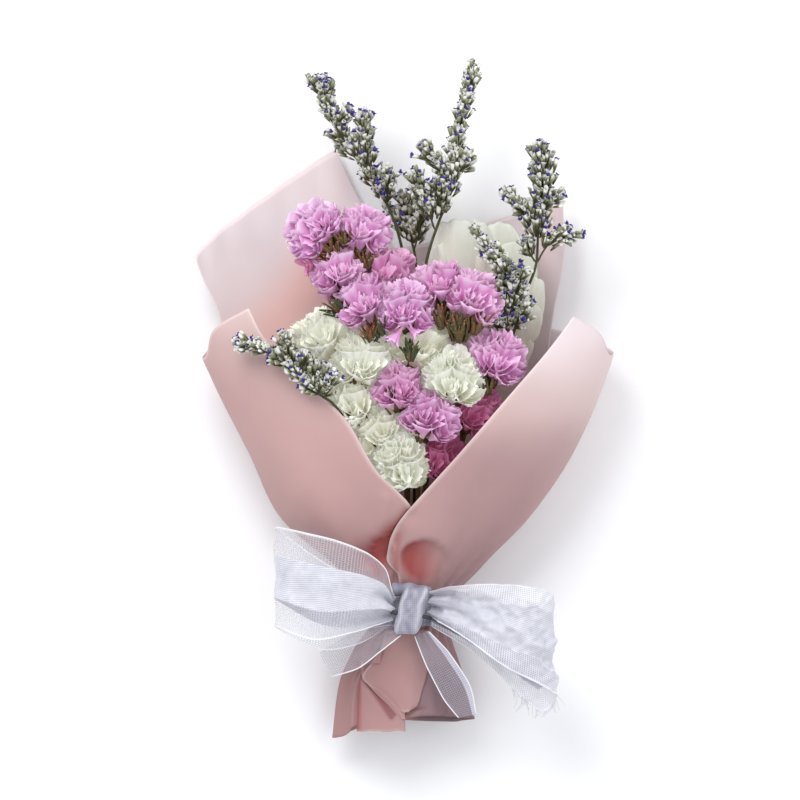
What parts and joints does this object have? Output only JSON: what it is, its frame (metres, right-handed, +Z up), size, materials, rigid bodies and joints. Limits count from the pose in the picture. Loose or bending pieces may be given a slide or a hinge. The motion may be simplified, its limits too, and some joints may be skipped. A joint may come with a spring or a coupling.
{
  "type": "dried flower bouquet",
  "caption": "Small bouquet of dried statice and sea lavender in folded matte wrapping film, tied at the neck with a sheer ribbon bow and laid on its back.",
  "frame": {"origin": "on the surface that the bouquet lies on, at a point of the flat back of the outer wrapping film", "axes": "+Y from the wrapped handle to the flowers, +Z up from the surface towards the front of the bouquet, +X to its right seen from the front"},
  "size_m": [0.155, 0.2503, 0.0616],
  "materials": {
    "film_outer": "matte, soft pink",
    "film_inner": "matte, lighter pink",
    "ribbon": "sheer white organza with a satin band",
    "tie": "matte elastic",
    "stem": "dried green, matte",
    "pink_petal": "papery, matte",
    "white_petal": "papery, matte",
    "cream_petal": "papery, matte",
    "lavender": "dried grey-green, matte"
  },
  "bodies": {
    "root": {"film_front_right": "film_outer", "film_front_left": "film_outer", "film_back_left": "film_inner", "film_back_right": "film_inner", "ribbon_turn": "ribbon", "ribbon_knot": "ribbon", "ribbon_loop_left": "ribbon", "ribbon_loop_right": "ribbon", "ribbon_tail_left": "ribbon", "ribbon_tail_right": "ribbon", "stem_tie": "tie", "stem_pink_a": "stem", "stem_pink_b": "stem", "stem_pink_c": "stem", "stem_pink_d": "stem", "stem_white_a": "stem", "stem_white_b": "stem", "stem_white_c": "stem", "stem_cream": "stem", "pink_tuft_01": "pink_petal", "pink_tuft_02": "pink_petal", "pink_tuft_03": "pink_petal", "pink_tuft_04": "pink_petal", "pink_tuft_05": "pink_petal", "pink_tuft_06": "pink_petal", "pink_tuft_07": "pink_petal", "pink_tuft_08": "pink_petal", "pink_tuft_09": "pink_petal", "pink_tuft_10": "pink_petal", "pink_tuft_11": "pink_petal", "pink_tuft_12": "pink_petal", "pink_tuft_13": "pink_petal", "white_tuft_01": "white_petal", "white_tuft_02": "white_petal", "white_tuft_03": "white_petal", "white_tuft_04": "white_petal", "white_tuft_05": "white_petal", "white_tuft_06": "white_petal", "white_tuft_07": "white_petal", "cream_head_01": "cream_petal", "cream_head_02": "cream_petal", "cream_head_03": "cream_petal", "cream_head_04": "cream_petal", "lavender_tall_left": "lavender", "lavender_tall_middle": "lavender", "lavender_low_middle": "lavender", "lavender_forked_right": "lavender", "lavender_low_left": "lavender"}
  },
  "joints": []
}
